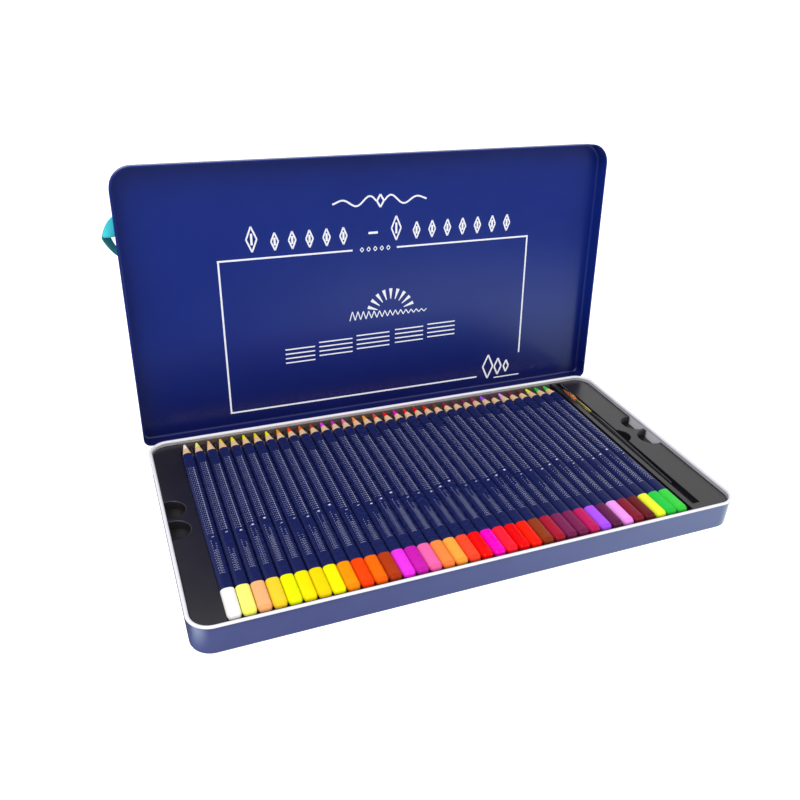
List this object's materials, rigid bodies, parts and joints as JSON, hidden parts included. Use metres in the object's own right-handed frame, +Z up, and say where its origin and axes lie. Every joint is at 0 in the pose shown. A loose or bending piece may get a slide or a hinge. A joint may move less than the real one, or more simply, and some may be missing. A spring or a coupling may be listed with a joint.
{
  "type": "colored pencil tin",
  "caption": "Flat hinged metal tin, open, with lift-out trays of triangular colored pencils in grooves, a small brush and a ribbon loop on the lid.",
  "frame": {"origin": "centre of the base's underside", "axes": "+Z up, +X along the tin's long side to the right, +Y from the front to the hinge"},
  "size_m": [0.3634, 0.2147, 0.2032],
  "materials": {
    "tin_lacquer": "gloss lacquer, blue outside and white inside and on the rolled rim",
    "lid_lacquer": "high gloss deep blue lacquer with a fine white printed line",
    "hinge_steel": "bright tinplate",
    "pin_steel": "drawn wire",
    "ribbon": "woven satin ribbon",
    "tray_plastic": "satin formed sheet",
    "handle_lacquer": "gloss black lacquer",
    "ferrule_brass": "polished, crimped",
    "brush_hair": "fine synthetic hair",
    "clear_sleeve": "clear tube",
    "pencil_white": "navy lacquer on a triangular casing, one end dipped in this colour, lead of this colour",
    "pencil_lemon_pale": "navy lacquer on a triangular casing, one end dipped in this colour, lead of this colour",
    "pencil_peach": "navy lacquer on a triangular casing, one end dipped in this colour, lead of this colour",
    "pencil_maize": "navy lacquer on a triangular casing, one end dipped in this colour, lead of this colour",
    "pencil_lemon": "navy lacquer on a triangular casing, one end dipped in this colour, lead of this colour",
    "pencil_yellow": "navy lacquer on a triangular casing, one end dipped in this colour, lead of this colour",
    "pencil_gold": "navy lacquer on a triangular casing, one end dipped in this colour, lead of this colour",
    "pencil_canary": "navy lacquer on a triangular casing, one end dipped in this colour, lead of this colour",
    "pencil_amber": "navy lacquer on a triangular casing, one end dipped in this colour, lead of this colour",
    "pencil_vermilion": "navy lacquer on a triangular casing, one end dipped in this colour, lead of this colour",
    "pencil_orange": "navy lacquer on a triangular casing, one end dipped in this colour, lead of this colour",
    "pencil_sienna": "navy lacquer on a triangular casing, one end dipped in this colour, lead of this colour",
    "pencil_magenta": "navy lacquer on a triangular casing, one end dipped in this colour, lead of this colour",
    "pencil_purple": "navy lacquer on a triangular casing, one end dipped in this colour, lead of this colour",
    "pencil_pink": "navy lacquer on a triangular casing, one end dipped in this colour, lead of this colour",
    "pencil_apricot": "navy lacquer on a triangular casing, one end dipped in this colour, lead of this colour",
    "pencil_ochre": "navy lacquer on a triangular casing, one end dipped in this colour, lead of this colour",
    "pencil_coral": "navy lacquer on a triangular casing, one end dipped in this colour, lead of this colour",
    "pencil_red": "navy lacquer on a triangular casing, one end dipped in this colour, lead of this colour",
    "pencil_fuchsia": "navy lacquer on a triangular casing, one end dipped in this colour, lead of this colour",
    "pencil_crimson": "navy lacquer on a triangular casing, one end dipped in this colour, lead of this colour",
    "pencil_scarlet": "navy lacquer on a triangular casing, one end dipped in this colour, lead of this colour",
    "pencil_tomato": "navy lacquer on a triangular casing, one end dipped in this colour, lead of this colour",
    "pencil_brown": "navy lacquer on a triangular casing, one end dipped in this colour, lead of this colour",
    "pencil_ruby": "navy lacquer on a triangular casing, one end dipped in this colour, lead of this colour",
    "pencil_plum": "navy lacquer on a triangular casing, one end dipped in this colour, lead of this colour",
    "pencil_wine": "navy lacquer on a triangular casing, one end dipped in this colour, lead of this colour",
    "pencil_cerise": "navy lacquer on a triangular casing, one end dipped in this colour, lead of this colour",
    "pencil_violet": "navy lacquer on a triangular casing, one end dipped in this colour, lead of this colour",
    "pencil_aubergine": "navy lacquer on a triangular casing, one end dipped in this colour, lead of this colour",
    "pencil_orchid": "navy lacquer on a triangular casing, one end dipped in this colour, lead of this colour",
    "pencil_garnet": "navy lacquer on a triangular casing, one end dipped in this colour, lead of this colour",
    "pencil_maroon": "navy lacquer on a triangular casing, one end dipped in this colour, lead of this colour",
    "pencil_citron": "navy lacquer on a triangular casing, one end dipped in this colour, lead of this colour",
    "pencil_green": "navy lacquer on a triangular casing, one end dipped in this colour, lead of this colour",
    "pencil_leaf_green": "navy lacquer on a triangular casing, one end dipped in this colour, lead of this colour",
    "pencils_greens": "navy lacquer casings, ends dipped in this family of colours",
    "pencils_blues": "navy lacquer casings, ends dipped in this family of colours",
    "pencils_browns": "navy lacquer casings, ends dipped in this family of colours",
    "pencils_greys": "navy lacquer casings, ends dipped in this family of colours"
  },
  "bodies": {
    "base": {"base_shell": "tin_lacquer", "base_hinge_leaves": "hinge_steel", "hinge_pins": "pin_steel"},
    "lid": {"lid_shell": "lid_lacquer", "lid_hinge_leaves": "hinge_steel", "ribbon_loop": "ribbon"},
    "upper_tray": {"upper_tray": "tray_plastic", "upper_tray_left_deck": "tray_plastic", "upper_tray_right_deck": "tray_plastic"},
    "lower_tray": {"lower_tray": "tray_plastic", "lower_tray_left_deck": "tray_plastic", "lower_tray_right_deck": "tray_plastic", "lower_pencils_greens": "pencils_greens", "lower_pencils_blues": "pencils_blues", "lower_pencils_browns": "pencils_browns", "lower_pencils_greys": "pencils_greys"},
    "brush": {"brush_handle": "handle_lacquer", "brush_ferrule": "ferrule_brass", "brush_hair": "brush_hair", "brush_sleeve": "clear_sleeve"},
    "pencil_01_white": {"pencil_01_white": "pencil_white"},
    "pencil_02_lemon_pale": {"pencil_02_lemon_pale": "pencil_lemon_pale"},
    "pencil_03_peach": {"pencil_03_peach": "pencil_peach"},
    "pencil_04_maize": {"pencil_04_maize": "pencil_maize"},
    "pencil_05_lemon": {"pencil_05_lemon": "pencil_lemon"},
    "pencil_06_yellow": {"pencil_06_yellow": "pencil_yellow"},
    "pencil_07_gold": {"pencil_07_gold": "pencil_gold"},
    "pencil_08_canary": {"pencil_08_canary": "pencil_canary"},
    "pencil_09_amber": {"pencil_09_amber": "pencil_amber"},
    "pencil_10_vermilion": {"pencil_10_vermilion": "pencil_vermilion"},
    "pencil_11_orange": {"pencil_11_orange": "pencil_orange"},
    "pencil_12_sienna": {"pencil_12_sienna": "pencil_sienna"},
    "pencil_13_magenta": {"pencil_13_magenta": "pencil_magenta"},
    "pencil_14_purple": {"pencil_14_purple": "pencil_purple"},
    "pencil_15_pink": {"pencil_15_pink": "pencil_pink"},
    "pencil_16_apricot": {"pencil_16_apricot": "pencil_apricot"},
    "pencil_17_ochre": {"pencil_17_ochre": "pencil_ochre"},
    "pencil_18_coral": {"pencil_18_coral": "pencil_coral"},
    "pencil_19_red": {"pencil_19_red": "pencil_red"},
    "pencil_20_fuchsia": {"pencil_20_fuchsia": "pencil_fuchsia"},
    "pencil_21_crimson": {"pencil_21_crimson": "pencil_crimson"},
    "pencil_22_scarlet": {"pencil_22_scarlet": "pencil_scarlet"},
    "pencil_23_tomato": {"pencil_23_tomato": "pencil_tomato"},
    "pencil_24_brown": {"pencil_24_brown": "pencil_brown"},
    "pencil_25_ruby": {"pencil_25_ruby": "pencil_ruby"},
    "pencil_26_plum": {"pencil_26_plum": "pencil_plum"},
    "pencil_27_wine": {"pencil_27_wine": "pencil_wine"},
    "pencil_28_cerise": {"pencil_28_cerise": "pencil_cerise"},
    "pencil_29_violet": {"pencil_29_violet": "pencil_violet"},
    "pencil_30_aubergine": {"pencil_30_aubergine": "pencil_aubergine"},
    "pencil_31_orchid": {"pencil_31_orchid": "pencil_orchid"},
    "pencil_32_garnet": {"pencil_32_garnet": "pencil_garnet"},
    "pencil_33_maroon": {"pencil_33_maroon": "pencil_maroon"},
    "pencil_34_citron": {"pencil_34_citron": "pencil_citron"},
    "pencil_35_green": {"pencil_35_green": "pencil_green"},
    "pencil_36_leaf_green": {"pencil_36_leaf_green": "pencil_leaf_green"}
  },
  "joints": [
    {"name": "lid_hinge", "type": "hinge", "parent": "base", "child": "lid", "pos_m": [0, 0.09513, 0.0148], "axis": [-1, 0, 0], "range_deg": [-95, 0]},
    {"name": "upper_tray_lift", "type": "slide", "parent": "base", "child": "upper_tray", "axis": [0, 0, 1], "range_m": [0, 0.08]},
    {"name": "lower_tray_lift", "type": "slide", "parent": "base", "child": "lower_tray", "axis": [0, 0, 1], "range_m": [0, 0.04]},
    {"name": "brush_lift", "type": "slide", "parent": "upper_tray", "child": "brush", "axis": [0, 0, 1], "range_m": [0, 0.03]},
    {"name": "pencil_01_white_lift", "type": "slide", "parent": "upper_tray", "child": "pencil_01_white", "axis": [0, 0, 1], "range_m": [0, 0.03]},
    {"name": "pencil_02_lemon_pale_lift", "type": "slide", "parent": "upper_tray", "child": "pencil_02_lemon_pale", "axis": [0, 0, 1], "range_m": [0, 0.03]},
    {"name": "pencil_03_peach_lift", "type": "slide", "parent": "upper_tray", "child": "pencil_03_peach", "axis": [0, 0, 1], "range_m": [0, 0.03]},
    {"name": "pencil_04_maize_lift", "type": "slide", "parent": "upper_tray", "child": "pencil_04_maize", "axis": [0, 0, 1], "range_m": [0, 0.03]},
    {"name": "pencil_05_lemon_lift", "type": "slide", "parent": "upper_tray", "child": "pencil_05_lemon", "axis": [0, 0, 1], "range_m": [0, 0.03]},
    {"name": "pencil_06_yellow_lift", "type": "slide", "parent": "upper_tray", "child": "pencil_06_yellow", "axis": [0, 0, 1], "range_m": [0, 0.03]},
    {"name": "pencil_07_gold_lift", "type": "slide", "parent": "upper_tray", "child": "pencil_07_gold", "axis": [0, 0, 1], "range_m": [0, 0.03]},
    {"name": "pencil_08_canary_lift", "type": "slide", "parent": "upper_tray", "child": "pencil_08_canary", "axis": [0, 0, 1], "range_m": [0, 0.03]},
    {"name": "pencil_09_amber_lift", "type": "slide", "parent": "upper_tray", "child": "pencil_09_amber", "axis": [0, 0, 1], "range_m": [0, 0.03]},
    {"name": "pencil_10_vermilion_lift", "type": "slide", "parent": "upper_tray", "child": "pencil_10_vermilion", "axis": [0, 0, 1], "range_m": [0, 0.03]},
    {"name": "pencil_11_orange_lift", "type": "slide", "parent": "upper_tray", "child": "pencil_11_orange", "axis": [0, 0, 1], "range_m": [0, 0.03]},
    {"name": "pencil_12_sienna_lift", "type": "slide", "parent": "upper_tray", "child": "pencil_12_sienna", "axis": [0, 0, 1], "range_m": [0, 0.03]},
    {"name": "pencil_13_magenta_lift", "type": "slide", "parent": "upper_tray", "child": "pencil_13_magenta", "axis": [0, 0, 1], "range_m": [0, 0.03]},
    {"name": "pencil_14_purple_lift", "type": "slide", "parent": "upper_tray", "child": "pencil_14_purple", "axis": [0, 0, 1], "range_m": [0, 0.03]},
    {"name": "pencil_15_pink_lift", "type": "slide", "parent": "upper_tray", "child": "pencil_15_pink", "axis": [0, 0, 1], "range_m": [0, 0.03]},
    {"name": "pencil_16_apricot_lift", "type": "slide", "parent": "upper_tray", "child": "pencil_16_apricot", "axis": [0, 0, 1], "range_m": [0, 0.03]},
    {"name": "pencil_17_ochre_lift", "type": "slide", "parent": "upper_tray", "child": "pencil_17_ochre", "axis": [0, 0, 1], "range_m": [0, 0.03]},
    {"name": "pencil_18_coral_lift", "type": "slide", "parent": "upper_tray", "child": "pencil_18_coral", "axis": [0, 0, 1], "range_m": [0, 0.03]},
    {"name": "pencil_19_red_lift", "type": "slide", "parent": "upper_tray", "child": "pencil_19_red", "axis": [0, 0, 1], "range_m": [0, 0.03]},
    {"name": "pencil_20_fuchsia_lift", "type": "slide", "parent": "upper_tray", "child": "pencil_20_fuchsia", "axis": [0, 0, 1], "range_m": [0, 0.03]},
    {"name": "pencil_21_crimson_lift", "type": "slide", "parent": "upper_tray", "child": "pencil_21_crimson", "axis": [0, 0, 1], "range_m": [0, 0.03]},
    {"name": "pencil_22_scarlet_lift", "type": "slide", "parent": "upper_tray", "child": "pencil_22_scarlet", "axis": [0, 0, 1], "range_m": [0, 0.03]},
    {"name": "pencil_23_tomato_lift", "type": "slide", "parent": "upper_tray", "child": "pencil_23_tomato", "axis": [0, 0, 1], "range_m": [0, 0.03]},
    {"name": "pencil_24_brown_lift", "type": "slide", "parent": "upper_tray", "child": "pencil_24_brown", "axis": [0, 0, 1], "range_m": [0, 0.03]},
    {"name": "pencil_25_ruby_lift", "type": "slide", "parent": "upper_tray", "child": "pencil_25_ruby", "axis": [0, 0, 1], "range_m": [0, 0.03]},
    {"name": "pencil_26_plum_lift", "type": "slide", "parent": "upper_tray", "child": "pencil_26_plum", "axis": [0, 0, 1], "range_m": [0, 0.03]},
    {"name": "pencil_27_wine_lift", "type": "slide", "parent": "upper_tray", "child": "pencil_27_wine", "axis": [0, 0, 1], "range_m": [0, 0.03]},
    {"name": "pencil_28_cerise_lift", "type": "slide", "parent": "upper_tray", "child": "pencil_28_cerise", "axis": [0, 0, 1], "range_m": [0, 0.03]},
    {"name": "pencil_29_violet_lift", "type": "slide", "parent": "upper_tray", "child": "pencil_29_violet", "axis": [0, 0, 1], "range_m": [0, 0.03]},
    {"name": "pencil_30_aubergine_lift", "type": "slide", "parent": "upper_tray", "child": "pencil_30_aubergine", "axis": [0, 0, 1], "range_m": [0, 0.03]},
    {"name": "pencil_31_orchid_lift", "type": "slide", "parent": "upper_tray", "child": "pencil_31_orchid", "axis": [0, 0, 1], "range_m": [0, 0.03]},
    {"name": "pencil_32_garnet_lift", "type": "slide", "parent": "upper_tray", "child": "pencil_32_garnet", "axis": [0, 0, 1], "range_m": [0, 0.03]},
    {"name": "pencil_33_maroon_lift", "type": "slide", "parent": "upper_tray", "child": "pencil_33_maroon", "axis": [0, 0, 1], "range_m": [0, 0.03]},
    {"name": "pencil_34_citron_lift", "type": "slide", "parent": "upper_tray", "child": "pencil_34_citron", "axis": [0, 0, 1], "range_m": [0, 0.03]},
    {"name": "pencil_35_green_lift", "type": "slide", "parent": "upper_tray", "child": "pencil_35_green", "axis": [0, 0, 1], "range_m": [0, 0.03]},
    {"name": "pencil_36_leaf_green_lift", "type": "slide", "parent": "upper_tray", "child": "pencil_36_leaf_green", "axis": [0, 0, 1], "range_m": [0, 0.03]}
  ],
  "couplings": [
    {"joint": "lower_tray_lift", "follows": "upper_tray_lift", "ratio": 0.5}
  ]
}
